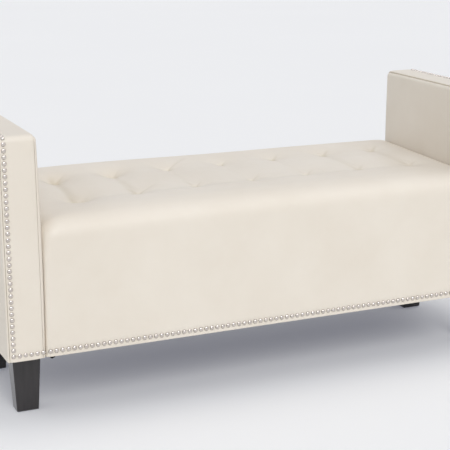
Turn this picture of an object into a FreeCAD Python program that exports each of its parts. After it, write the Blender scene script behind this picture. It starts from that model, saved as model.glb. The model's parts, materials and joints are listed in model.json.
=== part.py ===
import FreeCAD, Part
import math
import os

# Upholstered bench with two square arms, a tufted seat and four tapered block legs.
# Millimetres.  +X runs along the bench, the front faces -Y and +Z is up.
# The origin is on the floor, under the middle of the bench.

# Overall sizes
SEAT_LENGTH = 1085.0
ARM_WIDTH = 87.5
DEPTH = 500.0
ARM_HEIGHT = 625.0
SEAT_HEIGHT = 452.0
LEG_HEIGHT = 150.0

# Upholstery
COVER = 1.5
FACE_PADDING = 8.0
ARM_TOP_PADDING = 10.0
ARM_INNER_PADDING = 28.5
ARM_CROWN = 3.0
ARM_NOSE_RADIUS = 12.0
ARM_INNER_RADIUS = 8.0
ARM_OUTER_RADIUS = 4.0
ARM_SEAM_INSET = 11.5
SEAT_FOAM = 70.0
SEAT_CROWN = 5.0
SEAT_FRONT_ROLL = 42.0
SEAT_REAR_ROLL = 24.0
SEAT_CORNER_RADIUS = 6.0
SEAT_ARM_GAP = 0.5
REAR_SEAM_DROP = 70.0
DUST_COVER = 1.0
DUST_COVER_CLEARANCE = 1.0

# Tufts of the seat
TUFT_COLUMNS = 7
TUFT_ROWS = 2
TUFT_PITCH_X = 141.0
TUFT_PITCH_Y = 194.0
TUFT_SHIFT_Y = 28.0
TUFT_DEPTH = 16.0
TUFT_RADIUS = 58.0
TUFT_FLOOR_RADIUS = 6.0
TUFT_RIM_RISE = 1.0
TWINE_RADIUS = 1.5
TUFT_WASHER_RADIUS = 13.0
TUFT_WASHER_THICKNESS = 3.0

# Timber
RAIL_THICKNESS = 25.0
BASE_RAIL_HEIGHT = 60.0
UPPER_RAIL_HEIGHT = 50.0
POST_DEPTH = 45.0
ARM_TOP_RAIL_HEIGHT = 30.0
TACKING_RAIL_HEIGHT = 40.0
TACKING_RAIL_DROP = 30.0
SIDE_BOARD = 3.0
FACE_BOARD = 9.0
DECK = 12.0
UPRIGHT_WIDTH = 40.0
BRACE_OFFSET = 180.0
SEAT_FRAME_CLEARANCE = 4.0
LEG_BLOCK_MARGIN = 40.0
LEG_BLOCK_HEIGHT = 40.0

# Legs and their fixings
LEG_TOP_WIDTH = 65.0
LEG_TOP_DEPTH = 50.0
LEG_FOOT_WIDTH = 49.0
LEG_FOOT_DEPTH = 35.0
LEG_FOOT_BEVEL = 2.0
LEG_EDGE_RADIUS = 2.0
LEG_INSET_X = 36.5
LEG_INSET_Y = 91.0
GLIDE_RADIUS = 12.0
GLIDE_HEIGHT = 1.0
BOLT_RADIUS = 4.0
BOLT_IN_LEG = 45.0
BOLT_ABOVE_BLOCK = 4.0
BOLT_CLEARANCE = 0.5
TEE_NUT_RADIUS = 10.0
TEE_NUT_FLANGE = 1.5
TEE_NUT_BARREL_RADIUS = 5.0
TEE_NUT_BARREL = 10.0

# Frame screws
SCREW_RADIUS = 2.5
SCREW_HEAD_RADIUS = 5.0
SCREW_HEAD = 3.0
SCREW_LENGTH = 60.0
SCREW_EDGE = 12.0

# Nailheads
NAIL_RADIUS = 4.75
NAIL_RISE = 2.8
NAIL_PITCH = 13.2
NAIL_EDGE = 12.5

# Planes worked out from the sizes above
SEAT_HALF = SEAT_LENGTH / 2
ARM_OUTER = SEAT_HALF + ARM_WIDTH
HALF_DEPTH = DEPTH / 2
FRAME_BOTTOM = LEG_HEIGHT + DUST_COVER
BASE_TOP = FRAME_BOTTOM + BASE_RAIL_HEIGHT
FRAME_Y = HALF_DEPTH - COVER - FACE_PADDING
BASE_INNER_Y = FRAME_Y - RAIL_THICKNESS
ARM_BOARD_X = ARM_OUTER - COVER - SIDE_BOARD
ARM_PAD_X = SEAT_HALF + COVER + ARM_INNER_PADDING
ARM_POST_X = ARM_PAD_X + SIDE_BOARD
ARM_FRAME_TOP = ARM_HEIGHT - COVER - ARM_TOP_PADDING
ARM_RAIL_BOTTOM = ARM_FRAME_TOP - ARM_TOP_RAIL_HEIGHT
END_RAIL_X = ARM_BOARD_X - RAIL_THICKNESS
DECK_TOP = SEAT_HEIGHT - COVER - SEAT_FOAM
DECK_BOTTOM = DECK_TOP - DECK
UPPER_RAIL_BOTTOM = DECK_BOTTOM - UPPER_RAIL_HEIGHT
SEAT_END = SEAT_HALF - SEAT_ARM_GAP
SEAT_FRAME_X = SEAT_END - COVER - SEAT_FRAME_CLEARANCE
UPPER_RAIL_Y = FRAME_Y - FACE_BOARD
UPPER_INNER_Y = UPPER_RAIL_Y - RAIL_THICKNESS
LEG_X = ARM_OUTER - LEG_INSET_X - LEG_FOOT_WIDTH / 2
LEG_Y = HALF_DEPTH - LEG_INSET_Y - LEG_FOOT_DEPTH / 2
BLOCK_TOP = FRAME_BOTTOM + LEG_BLOCK_HEIGHT
SPAN = 2 * ARM_OUTER
MATCH = 0.05

UP = FreeCAD.Vector(0, 0, 1)
DOWN = FreeCAD.Vector(0, 0, -1)
ALONG_X = FreeCAD.Vector(1, 0, 0)
ALONG_Y = FreeCAD.Vector(0, 1, 0)
FRONT = FreeCAD.Vector(0, -1, 0)
CENTRE = FreeCAD.Vector(0, 0, 0)


def point(x, y, z):
    return FreeCAD.Vector(x, y, z)


def box(x0, x1, y0, y1, z0, z1):
    """A block between two corners."""
    return Part.makeBox(x1 - x0, y1 - y0, z1 - z0, point(x0, y0, z0))


def rail_way():
    """Space that the base rails and leg blocks take between and under the covers."""
    return box(-ARM_PAD_X, ARM_PAD_X, -FRAME_Y, FRAME_Y, 0, BASE_TOP)


def cut_all(shape, tools):
    """The shape without the given tools."""
    return shape.cut(Part.makeCompound(tools))


def save(name, shape):
    """Write one node, a single solid or a group of separate solids."""
    solids = shape.Solids
    whole = solids[0] if len(solids) == 1 else Part.makeCompound(solids)
    whole.exportStep("parts/" + name + ".step")


def save_pair(name, shape):
    """Write a right-hand piece and its mirror image on the left."""
    save("right_" + name, shape)
    save("left_" + name, shape.mirror(CENTRE, ALONG_X))


def save_front_rear(name, shape):
    """Write a front piece and its mirror image at the rear."""
    save("front_" + name, shape)
    save("rear_" + name, shape.mirror(CENTRE, ALONG_Y))


def corners(shape):
    """Name and copy of a front right piece for each of the four corners."""
    left = shape.mirror(CENTRE, ALONG_X)
    return [
        ("front_right", shape),
        ("front_left", left),
        ("rear_right", shape.mirror(CENTRE, ALONG_Y)),
        ("rear_left", left.mirror(CENTRE, ALONG_Y)),
    ]


def four(shape):
    """Four copies of a front right piece as one group."""
    return Part.makeCompound([copy for name, copy in corners(shape)])


# Envelopes of the padded forms

def level(edge, z):
    """Whether an edge lies at one height."""
    return abs(edge.BoundBox.ZMin - z) < MATCH and abs(edge.BoundBox.ZMax - z) < MATCH


def runs_along_x(edge):
    """Whether an edge runs mostly along X."""
    return edge.BoundBox.XLength > max(edge.BoundBox.YLength, edge.BoundBox.ZLength)


def outline(face, bottom):
    """Edges of an end face, apart from the one underneath."""
    return [edge for edge in face.Edges if not level(edge, bottom)]


def crowned_face(shape):
    """The face that a large ball left on a shape."""
    return [face for face in shape.Faces if isinstance(face.Surface, Part.Sphere)][0]


def flat_face_at(shape, x):
    """The flat face square to X at the given place."""
    for face in shape.Faces:
        if face.BoundBox.XLength < MATCH and abs(face.BoundBox.XMin - x) < MATCH:
            return face


def arm_envelope(inset):
    """Right arm's padded form, drawn in by inset on every face but the open underside."""
    bottom = LEG_HEIGHT - inset
    half = HALF_DEPTH - inset
    ball_radius = HALF_DEPTH ** 2 / (2 * ARM_CROWN)
    middle = point(SEAT_HALF + ball_radius, 0, (LEG_HEIGHT + ARM_HEIGHT) / 2)
    block = box(SEAT_HALF - ARM_WIDTH, ARM_OUTER - inset, -half, half, bottom, ARM_HEIGHT - inset)
    body = block.common(Part.makeSphere(ball_radius - inset, middle)).Solids[0]
    noses = [edge for edge in body.Edges if runs_along_x(edge) and level(edge, ARM_HEIGHT - inset)]
    body = body.makeFillet(ARM_NOSE_RADIUS - inset, noses)
    body = body.makeFillet(ARM_INNER_RADIUS - inset, outline(crowned_face(body), bottom))
    return body.makeFillet(ARM_OUTER_RADIUS - inset, outline(flat_face_at(body, ARM_OUTER - inset), bottom))


def seat_ball_radius():
    return SEAT_HALF ** 2 / (2 * SEAT_CROWN)


def seat_top(x, y):
    """Height of the crowned seat before it is tufted."""
    ball = seat_ball_radius()
    return SEAT_HEIGHT - ball + math.sqrt(ball ** 2 - x ** 2 - y ** 2)


def seat_envelope(inset):
    """The seat's padded form, drawn in by inset on every face but the open underside."""
    bottom = LEG_HEIGHT - inset
    end = SEAT_END - inset
    half = HALF_DEPTH - inset
    ball = seat_ball_radius()
    middle = point(0, 0, SEAT_HEIGHT - ball)
    sphere = Part.makeSphere(ball - inset, middle)
    sphere.rotate(middle, ALONG_Y, 90)
    block = box(-end, end, -half, half, bottom, SEAT_HEIGHT + SEAT_CROWN)
    body = block.common(sphere).Solids[0]
    rolls = {-1: SEAT_FRONT_ROLL, 1: SEAT_REAR_ROLL}
    for side, radius in rolls.items():
        top = crowned_face(body)
        edges = [edge for edge in top.Edges if runs_along_x(edge) and edge.CenterOfMass.y * side > 0]
        body = body.makeFillet(radius - inset, edges)
    for side in (-1, 1):
        body = body.makeFillet(SEAT_CORNER_RADIUS - inset, outline(flat_face_at(body, side * end), bottom))
    return body


# Tufts

def tuft_places():
    places = []
    for row in range(TUFT_ROWS):
        y = TUFT_SHIFT_Y + (row - (TUFT_ROWS - 1) / 2) * TUFT_PITCH_Y
        for column in range(TUFT_COLUMNS):
            places.append(((column - (TUFT_COLUMNS - 1) / 2) * TUFT_PITCH_X, y))
    return places


def tuft_pit(x, y, inset):
    """The hollow that a tuft pulls into the seat: a small floor and a round shoulder."""
    top = seat_top(x, y)
    reach = TUFT_RADIUS - TUFT_FLOOR_RADIUS
    drop = TUFT_DEPTH + TUFT_RIM_RISE
    shoulder = (reach ** 2 + drop ** 2) / (2 * drop)
    hub_z = top + TUFT_RIM_RISE - shoulder
    radius = shoulder - inset
    floor_z = top - TUFT_DEPTH - inset
    start = math.asin((floor_z - hub_z) / radius)

    def on_shoulder(angle):
        return point(x + TUFT_RADIUS - radius * math.cos(angle), y, hub_z + radius * math.sin(angle))

    floor_edge = on_shoulder(start)
    rim = on_shoulder(math.pi / 2)
    above = top + TUFT_DEPTH
    corner_points = [rim, point(rim.x, y, above), point(x, y, above), point(x, y, floor_z), floor_edge]
    edges = [Part.Arc(floor_edge, on_shoulder((start + math.pi / 2) / 2), rim).toShape()]
    for first, second in zip(corner_points, corner_points[1:]):
        edges.append(Part.LineSegment(first, second).toShape())
    profile = Part.Face(Part.Wire(edges))
    return profile.revolve(point(x, y, 0), UP, 360)


def tuft_twine(x, y):
    """The cord of one tuft, from under the cover to the washer's underside."""
    high = seat_top(x, y) - TUFT_DEPTH - COVER
    low = DECK_BOTTOM - TUFT_WASHER_THICKNESS
    return Part.makeCylinder(TWINE_RADIUS, high - low, point(x, y, low), UP)


# Seat

def make_seat_upholstery():
    twines = [tuft_twine(x, y) for x, y in tuft_places()]
    outside = cut_all(seat_envelope(0), [tuft_pit(x, y, 0) for x, y in tuft_places()])
    inside = cut_all(seat_envelope(COVER), [tuft_pit(x, y, COVER) for x, y in tuft_places()])
    skin = cut_all(outside, [inside, rail_way()])
    back = box(-SPAN, SPAN, HALF_DEPTH - SEAT_CORNER_RADIUS, DEPTH, 0, SEAT_HEIGHT - REAR_SEAM_DROP)
    save("seat_cover", skin.cut(back))
    save("seat_rear_cover", skin.common(back))
    foam_space = box(-SPAN, SPAN, -DEPTH, DEPTH, DECK_TOP, ARM_HEIGHT)
    save("seat_foam", cut_all(inside.common(foam_space), twines))
    face_space = box(-SPAN, SPAN, FRAME_Y, DEPTH, FRAME_BOTTOM, DECK_TOP)
    save("seat_rear_padding", inside.common(face_space))
    save("seat_front_padding", inside.common(face_space.mirror(CENTRE, ALONG_Y)))
    washers = []
    for x, y in tuft_places():
        base = point(x, y, DECK_BOTTOM - TUFT_WASHER_THICKNESS)
        washers.append(Part.makeCylinder(TUFT_WASHER_RADIUS, TUFT_WASHER_THICKNESS, base, UP))
    save("tuft_twines", Part.makeCompound(twines))
    save("tuft_washers", cut_all(Part.makeCompound(washers), twines))
    deck = box(-SEAT_FRAME_X, SEAT_FRAME_X, -FRAME_Y, FRAME_Y, DECK_BOTTOM, DECK_TOP)
    save("seat_deck", cut_all(deck, twines))


def make_seat_frame():
    upper = box(-SEAT_FRAME_X, SEAT_FRAME_X, -UPPER_RAIL_Y, -UPPER_INNER_Y, UPPER_RAIL_BOTTOM, DECK_BOTTOM)
    save_front_rear("upper_rail", upper)
    board = box(-SEAT_FRAME_X, SEAT_FRAME_X, -FRAME_Y, -UPPER_RAIL_Y, BASE_TOP, DECK_BOTTOM)
    save_front_rear("board", board)
    end_rail = box(SEAT_FRAME_X - RAIL_THICKNESS, SEAT_FRAME_X, -UPPER_INNER_Y, UPPER_INNER_Y,
                   UPPER_RAIL_BOTTOM, DECK_BOTTOM)
    save_pair("seat_end_rail", end_rail)
    brace = box(BRACE_OFFSET, BRACE_OFFSET + RAIL_THICKNESS, -UPPER_INNER_Y, UPPER_INNER_Y,
                UPPER_RAIL_BOTTOM, DECK_BOTTOM)
    save("seat_deck_braces", Part.makeCompound([brace, brace.mirror(CENTRE, ALONG_X)]))
    uprights = []
    for middle in (-SEAT_FRAME_X + UPRIGHT_WIDTH / 2, 0, SEAT_FRAME_X - UPRIGHT_WIDTH / 2):
        upright = box(middle - UPRIGHT_WIDTH / 2, middle + UPRIGHT_WIDTH / 2, -UPPER_RAIL_Y, -UPPER_INNER_Y,
                      BASE_TOP, UPPER_RAIL_BOTTOM)
        uprights.extend([upright, upright.mirror(CENTRE, ALONG_Y)])
    save("seat_uprights", Part.makeCompound(uprights))


# Screws

def screw(place, direction):
    """A countersunk wood screw whose head is flush at place."""
    head = Part.makeCone(SCREW_HEAD_RADIUS, SCREW_RADIUS, SCREW_HEAD, place, direction)
    shank = Part.makeCylinder(SCREW_RADIUS, SCREW_LENGTH, place, direction)
    return head.fuse(shank).removeSplitter()


def base_screws():
    """Two screws through a base rail into each end rail."""
    middle = (END_RAIL_X + ARM_BOARD_X) / 2
    low = FRAME_BOTTOM + SCREW_EDGE
    high = BASE_TOP - SCREW_EDGE
    pair = [screw(point(middle, -FRAME_Y, z), ALONG_Y) for z in (low, high)]
    return [solid for one in pair for solid in four(one).Solids]


def arm_screws():
    """Two screws down through the right arm's top rail into each post."""
    pair = []
    for x in (ARM_POST_X + SCREW_EDGE, ARM_BOARD_X - SCREW_EDGE):
        pair.append(screw(point(x, -FRAME_Y + POST_DEPTH / 2, ARM_FRAME_TOP), DOWN))
    return pair + [one.mirror(CENTRE, ALONG_Y) for one in pair]


# Base frame and legs

def make_base_frame():
    screws = base_screws()
    rail = box(-ARM_BOARD_X, ARM_BOARD_X, -FRAME_Y, -BASE_INNER_Y, FRAME_BOTTOM, BASE_TOP)
    save_front_rear("base_rail", cut_all(rail, screws))
    end_rail = box(END_RAIL_X, ARM_BOARD_X, -BASE_INNER_Y, BASE_INNER_Y, FRAME_BOTTOM, BASE_TOP)
    save_pair("base_end_rail", cut_all(end_rail, screws))
    brace = box(BRACE_OFFSET, BRACE_OFFSET + RAIL_THICKNESS, -BASE_INNER_Y, BASE_INNER_Y,
                FRAME_BOTTOM, BASE_TOP)
    save("base_cross_braces", Part.makeCompound([brace, brace.mirror(CENTRE, ALONG_X)]))
    arm_pairs = arm_screws()
    arm_pairs += [one.mirror(CENTRE, ALONG_X) for one in arm_pairs]
    save("frame_screws", Part.makeCompound(screws + arm_pairs))


def leg_section(width, depth, z):
    """A rectangle round the front right leg's middle."""
    points = [point(LEG_X + dx * width / 2, -LEG_Y + dy * depth / 2, z)
              for dx, dy in ((-1, -1), (1, -1), (1, 1), (-1, 1), (-1, -1))]
    return Part.makePolygon(points)


def make_legs():
    bolt_low = LEG_HEIGHT - BOLT_IN_LEG
    bolt_high = BLOCK_TOP + TEE_NUT_FLANGE + BOLT_ABOVE_BLOCK
    bolt = Part.makeCylinder(BOLT_RADIUS, bolt_high - bolt_low, point(LEG_X, -LEG_Y, bolt_low), UP)
    flange = Part.makeCylinder(TEE_NUT_RADIUS, TEE_NUT_FLANGE, point(LEG_X, -LEG_Y, BLOCK_TOP), UP)
    barrel = Part.makeCylinder(TEE_NUT_BARREL_RADIUS, TEE_NUT_BARREL + TEE_NUT_FLANGE,
                               point(LEG_X, -LEG_Y, BLOCK_TOP - TEE_NUT_BARREL), UP)
    nut = flange.fuse(barrel).removeSplitter().cut(bolt)
    clearance = Part.makeCylinder(BOLT_RADIUS + BOLT_CLEARANCE, bolt_high, point(LEG_X, -LEG_Y, 0), UP)
    bevel = 2 * LEG_FOOT_BEVEL
    sections = [
        leg_section(LEG_FOOT_WIDTH - bevel, LEG_FOOT_DEPTH - bevel, GLIDE_HEIGHT),
        leg_section(LEG_FOOT_WIDTH, LEG_FOOT_DEPTH, GLIDE_HEIGHT + LEG_FOOT_BEVEL),
        leg_section(LEG_TOP_WIDTH, LEG_TOP_DEPTH, LEG_HEIGHT),
    ]
    leg = Part.makeLoft(sections, True, True)
    arrises = [edge for edge in leg.Edges if edge.BoundBox.ZLength > LEG_HEIGHT / 2]
    leg = leg.makeFillet(LEG_EDGE_RADIUS, arrises).cut(bolt)
    block = box(LEG_X - LEG_BLOCK_MARGIN, END_RAIL_X, -BASE_INNER_Y, -LEG_Y + LEG_BLOCK_MARGIN,
                FRAME_BOTTOM, BLOCK_TOP)
    block = cut_all(block, [clearance, barrel])
    for corner, shape in corners(leg):
        save(corner + "_leg", shape)
    for corner, shape in corners(block):
        save(corner + "_leg_block", shape)
    save("leg_hanger_bolts", four(bolt))
    save("leg_tee_nuts", four(nut))
    save("leg_glides", four(Part.makeCylinder(GLIDE_RADIUS, GLIDE_HEIGHT, point(LEG_X, -LEG_Y, 0), UP)))
    sheet_x = ARM_OUTER - COVER - DUST_COVER_CLEARANCE
    sheet_y = FRAME_Y - DUST_COVER_CLEARANCE
    sheet = box(-sheet_x, sheet_x, -sheet_y, sheet_y, LEG_HEIGHT, FRAME_BOTTOM)
    sheet = sheet.cut(four(clearance))
    save("dust_cover", sheet)


# Arms

def make_arm_frame():
    screws = arm_screws()
    post = box(ARM_POST_X, ARM_BOARD_X, -FRAME_Y, -FRAME_Y + POST_DEPTH, BASE_TOP, ARM_RAIL_BOTTOM)
    save_pair("front_post", cut_all(post, screws))
    save_pair("rear_post", cut_all(post.mirror(CENTRE, ALONG_Y), screws))
    top_rail = box(ARM_POST_X, ARM_BOARD_X, -FRAME_Y, FRAME_Y, ARM_RAIL_BOTTOM, ARM_FRAME_TOP)
    save_pair("arm_top_rail", cut_all(top_rail, screws))
    tacking_top = SEAT_HEIGHT - TACKING_RAIL_DROP
    tacking = box(ARM_POST_X, ARM_POST_X + RAIL_THICKNESS, -FRAME_Y + POST_DEPTH, FRAME_Y - POST_DEPTH,
                  tacking_top - TACKING_RAIL_HEIGHT, tacking_top)
    save_pair("arm_tacking_rail", tacking)
    outer = box(ARM_BOARD_X, ARM_BOARD_X + SIDE_BOARD, -FRAME_Y, FRAME_Y, FRAME_BOTTOM, ARM_FRAME_TOP)
    save_pair("arm_outer_board", outer)
    inner = box(ARM_PAD_X, ARM_POST_X, -FRAME_Y, FRAME_Y, BASE_TOP, ARM_FRAME_TOP)
    save_pair("arm_inner_board", inner)


def make_arm_upholstery():
    outside = arm_envelope(0)
    inside = arm_envelope(COVER)
    skin = cut_all(outside, [inside, rail_way()])
    inner_part = box(0, SEAT_HALF + ARM_SEAM_INSET, -DEPTH, DEPTH, 0, 2 * ARM_HEIGHT)
    outer_part = box(ARM_OUTER - ARM_OUTER_RADIUS, SPAN, -DEPTH, DEPTH, 0, 2 * ARM_HEIGHT)
    save_pair("arm_inner_cover", skin.common(inner_part))
    save_pair("arm_outer_cover", skin.common(outer_part))
    save_pair("arm_band_cover", cut_all(skin, [inner_part, outer_part]))
    pad_space = box(0, ARM_PAD_X, -DEPTH, DEPTH, BASE_TOP, ARM_HEIGHT)
    save_pair("arm_inner_foam", inside.common(pad_space))
    frame_space = box(ARM_PAD_X, SPAN, -FRAME_Y, FRAME_Y, 0, ARM_FRAME_TOP)
    above_floor = box(0, SPAN, -DEPTH, DEPTH, FRAME_BOTTOM, ARM_HEIGHT)
    save_pair("arm_band_padding", cut_all(inside.common(above_floor), [pad_space, frame_space, rail_way()]))


# Nailheads

def nailhead(place, normal):
    """A domed nailhead that lies on a face at place."""
    ball = (NAIL_RADIUS ** 2 + NAIL_RISE ** 2) / (2 * NAIL_RISE)
    steepness = math.degrees(math.asin((ball - NAIL_RISE) / ball))
    hub = place - normal * (ball - NAIL_RISE)
    return Part.makeSphere(ball, hub, normal, steepness, 90, 360)


def arm_nail_line():
    """Places and normals up the right arm's front, over its nose and back along its top."""
    x = ARM_OUTER - NAIL_EDGE
    low = LEG_HEIGHT + NAIL_EDGE
    rise = ARM_HEIGHT - ARM_NOSE_RADIUS - low
    turn = ARM_NOSE_RADIUS * math.pi / 2
    run = DEPTH - ARM_NOSE_RADIUS - NAIL_EDGE
    hub_y = -HALF_DEPTH + ARM_NOSE_RADIUS
    hub_z = ARM_HEIGHT - ARM_NOSE_RADIUS
    nails = []
    for step in range(int((rise + turn + run) / NAIL_PITCH) + 1):
        distance = step * NAIL_PITCH
        if distance < rise:
            nails.append((point(x, -HALF_DEPTH, low + distance), FRONT))
        elif distance < rise + turn:
            angle = (distance - rise) / ARM_NOSE_RADIUS
            normal = point(0, -math.cos(angle), math.sin(angle))
            nails.append((point(x, hub_y, hub_z) + normal * ARM_NOSE_RADIUS, normal))
        else:
            nails.append((point(x, hub_y + distance - rise - turn, ARM_HEIGHT), UP))
    return nails


def make_nailheads():
    nail_z = LEG_HEIGHT + NAIL_EDGE
    nails = arm_nail_line()
    corner_x = ARM_OUTER - NAIL_EDGE
    across = corner_x - SEAT_HALF - ARM_SEAM_INSET
    count = round(across / NAIL_PITCH)
    for step in range(1, count + 1):
        nails.append((point(corner_x - step * across / count, -HALF_DEPTH, nail_z), FRONT))
    save_pair("arm_nailheads", Part.makeCompound([nailhead(place, normal) for place, normal in nails]))
    end_x = SEAT_END - SEAT_CORNER_RADIUS + NAIL_RADIUS / 2
    count = round(2 * end_x / NAIL_PITCH)
    row = []
    for step in range(count + 1):
        x = -end_x + step * 2 * end_x / count
        row.append(nailhead(point(x, -HALF_DEPTH, nail_z), FRONT))
    save("front_nailheads", Part.makeCompound(row))


os.makedirs("parts", exist_ok=True)
make_seat_upholstery()
make_seat_frame()
make_base_frame()
make_legs()
make_arm_frame()
make_arm_upholstery()
make_nailheads()
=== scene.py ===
import json
import math
import random

import bmesh
import bpy
import numpy as np
from mathutils import Matrix, Vector


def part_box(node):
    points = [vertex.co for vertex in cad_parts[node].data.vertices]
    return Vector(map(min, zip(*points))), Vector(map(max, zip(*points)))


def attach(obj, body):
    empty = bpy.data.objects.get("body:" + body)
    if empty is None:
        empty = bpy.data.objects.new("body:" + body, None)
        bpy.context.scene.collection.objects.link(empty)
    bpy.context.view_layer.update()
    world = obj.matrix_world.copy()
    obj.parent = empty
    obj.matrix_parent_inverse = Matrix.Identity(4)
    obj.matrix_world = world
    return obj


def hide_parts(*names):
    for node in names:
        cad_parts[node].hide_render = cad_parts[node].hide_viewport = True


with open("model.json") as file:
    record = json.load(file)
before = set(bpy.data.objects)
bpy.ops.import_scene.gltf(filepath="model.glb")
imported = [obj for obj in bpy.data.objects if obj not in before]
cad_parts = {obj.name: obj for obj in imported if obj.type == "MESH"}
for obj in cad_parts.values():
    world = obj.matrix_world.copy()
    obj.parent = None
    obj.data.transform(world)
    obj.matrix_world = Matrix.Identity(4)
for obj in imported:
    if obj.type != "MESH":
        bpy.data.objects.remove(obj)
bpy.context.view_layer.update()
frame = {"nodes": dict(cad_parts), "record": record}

# Upholstered bench with two square arms, a tufted seat, nailhead trim and tapered legs.
# Metres, in the frame's own axes: +X along the bench, the front faces -Y, +Z up.

# Places read from the frame
SEAT_LOW, SEAT_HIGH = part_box("seat_cover")
REAR_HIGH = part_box("seat_rear_cover")[1]
INNER_LOW, INNER_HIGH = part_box("right_arm_inner_cover")
BAND_LOW, BAND_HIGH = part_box("right_arm_band_cover")
OUTER_LOW, OUTER_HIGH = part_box("right_arm_outer_cover")
TWINE_LOW, TWINE_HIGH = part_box("tuft_twines")
RAIL_LOW, RAIL_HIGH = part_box("front_base_rail")
DUST_LOW, DUST_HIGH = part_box("dust_cover")
FRONT = SEAT_LOW.y
REAR = SEAT_HIGH.y
BOTTOM = SEAT_LOW.z
SEAT_TOP = SEAT_HIGH.z
SEAT_END = SEAT_HIGH.x
ARM_TOP = BAND_HIGH.z
ARM_MIDDLE_Z = (ARM_TOP + BOTTOM) / 2

# Leather and its seams
COVER = 0.0015
HEM_WIDTH = 0.009
HEM_RADIUS = 0.0012
SEAM_GAP = 0.00015
SEAM_DEPTH = 0.007
SEAM_LIP = 0.0008
BACK_LIP = 0.0030
PATH_DETAIL = 0.0005
# How hollow a cover must be for full painted shade in its creases, and how often that shade is smoothed
CREASE_HOLLOW = 0.0002
CREASE_SMOOTHING = 2
# Closer rows or columns near an edge, a seam or a tuft: the step there, and its reach
EDGE_FINE = (0.0015, 0.04)
SEAM_FINE = (0.0015, 0.02)
TUFT_FINE_ALONG = (0.0045, 0.06)
TUFT_FINE_ACROSS = (0.0045, 0.05)
PANEL_FINE = (0.0012, 0.02)
PANEL_END_FINE = (0.003, 0.05)
ARM_FINE = (0.0025, 0.04)
TURN_FINE = (0.003, 0.03)

# Seat
FRONT_ROLL = 0.042
REAR_ROLL = 0.024
SEAT_CROWN = 0.005
SEAT_BALL = SEAT_END ** 2 / (2 * SEAT_CROWN)
# The foam stands higher towards the rear left: how far, and from where to where it rises
LIFT = 0.008
LIFT_X = (0.10, -0.40)
LIFT_Y = (-0.10, 0.18)
FRONT_PUFF = 0.0015
SETTLE_ROOM = 0.0015
HELD_BELOW = 0.97
HELD_FADE = 0.08
SEAT_ROW_STEP = 0.011
SEAT_COLUMN_STEP = 0.012
END_ARC_STEPS = 7
END_WALL_STEPS = 3
END_WALL_LEAST = 0.001
END_FADE = 0.012
ARM_GAP = 0.0007
REAR_HOLD = (0.03, 0.05)
SEAM_ROWS = 4
# A cover counts as seat top from this upward part of its direction on, and in full a span later
TOP_FROM = (0.35, 0.6)
FOLD_FROM = (0.3, 0.4)
# Folds and the painted shade in the tuft pits go no deeper below the seat's top than this
TOP_REACH = 0.06
# A cover that faces down by this much is held still, or turned under and open at its ends
HELD_UNDER = 0.1
TURNED_UNDER = 0.2
# Distance along the cover from its front bottom edge, width and drop of the roll into the end
END_ROLL = [(0.0, 0.008, 0.008), (0.07, 0.009, 0.009), (0.16, 0.012, 0.011), (0.22, 0.016, 0.013),
            (0.26, 0.030, 0.022), (0.29, 0.045, 0.029), (0.33, 0.060, 0.034), (0.42, 0.074, 0.027),
            (0.55, 0.085, 0.018), (0.67, 0.070, 0.013), (0.76, 0.045, 0.011), (0.85, 0.010, 0.010)]
# The same distance, depth to which the cover is seen to turn down beside an arm
END_DEPTH = [(0.0, 0.009), (0.062, 0.009), (0.085, 0.036), (0.24, 0.038), (0.30, 0.0405), (0.34, 0.044),
             (0.42, 0.052), (0.55, 0.054), (0.67, 0.046), (0.76, 0.0225), (0.85, 0.020)]

# Tufts
TWINE_RADIUS = 0.0015
# How hard each tuft of the front and the rear row is pulled, from the left
TUFT_PULL = [[1.7, 0.6, 0.5, 0.5, 0.5, 0.45, 0.5], [1.4, 1.5, 0.75, 0.55, 0.5, 0.6, 0.5]]
# Painted shade in each tuft's pit: its strength for a pull of 1, and how far from the tuft it fades
TUFT_PIT_SHADE = 0.45
PIT_SHADE_REACH = 0.020
TUFT_DEPTH = 0.0100
TUFT_FALL = 0.030
PIT_DEPTH = 0.0110
PIT_FALL = 0.007
TUFT_TIP = 0.003
# How far the tufts of the front and the rear row were sewn to the right of their twines
TUFT_DRIFT = (0.009, 0.014)
TUFT_HOLD = 0.022
VALLEY_DEPTH = 0.0055
VALLEY_TIP = 0.014
VALLEY_LEFT = 0.016
VALLEY_RIGHT = 0.040
VALLEY_END = 0.03
PILLOW_RISE = 0.0018
# Direction and length of a tuft's main fold, and of the longest ones by column and row
MAIN_FOLD = (38, 0.052)
LONG_FOLDS = {(1, 0): (26, 0.105), (2, 1): (41, 0.125)}
MAIN_FOLD_DEPTH = 0.0010
# Direction, length and depth of the other folds, and of the one towards the other row
SHORT_FOLDS = [(150, 0.040, 0.0005), (215, 0.040, 0.0005), (-30, 0.034, 0.0004)]
CROSS_FOLDS = [(95, 0.050, 0.0005), (-85, 0.050, 0.0005)]
# How unlike the folds are in direction, length and depth
FOLD_TURNS = (-7, 7)
FOLD_LENGTHS = (0.85, 1.2)
FOLD_DEPTHS = (0.75, 1.2)
FOLD_BEND = 0.10
FOLD_WIDTH = 0.0034
FOLD_SPREAD = 0.05
FOLD_START = 0.008
# A fold's raised lip, in widths of the fold
LIP_PLACE = 1.9
LIP_WIDTH = 1.3
LIP_RISE = 0.9

# Rear panel
PANEL_ROW_STEP = 0.012
PANEL_COLUMN_STEP = 0.014
PANEL_ROLL = 0.005
PANEL_ARC_STEPS = 4
PANEL_TUCK = 0.009
PANEL_PUFF = 0.0022

# Arms
ARM_CROWN = 0.003
ARM_BALL = REAR ** 2 / (2 * ARM_CROWN)
ARM_NOSE = 0.012
ARM_ROLL_LOW = 0.009
ARM_ROLL_HIGH = 0.011
ARM_SEAM_STEP = 0.0030
ARM_STEP_REACH = 0.010
ARM_STEP_RISE = 0.016
ARM_OUTER_ROLL = 0.004
ARM_STEP = 0.010
BAND_STEP = 0.0055
# Step across the band as a share of the step along it
BAND_ACROSS = 0.8
BAND_PUFF = 0.0010
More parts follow.
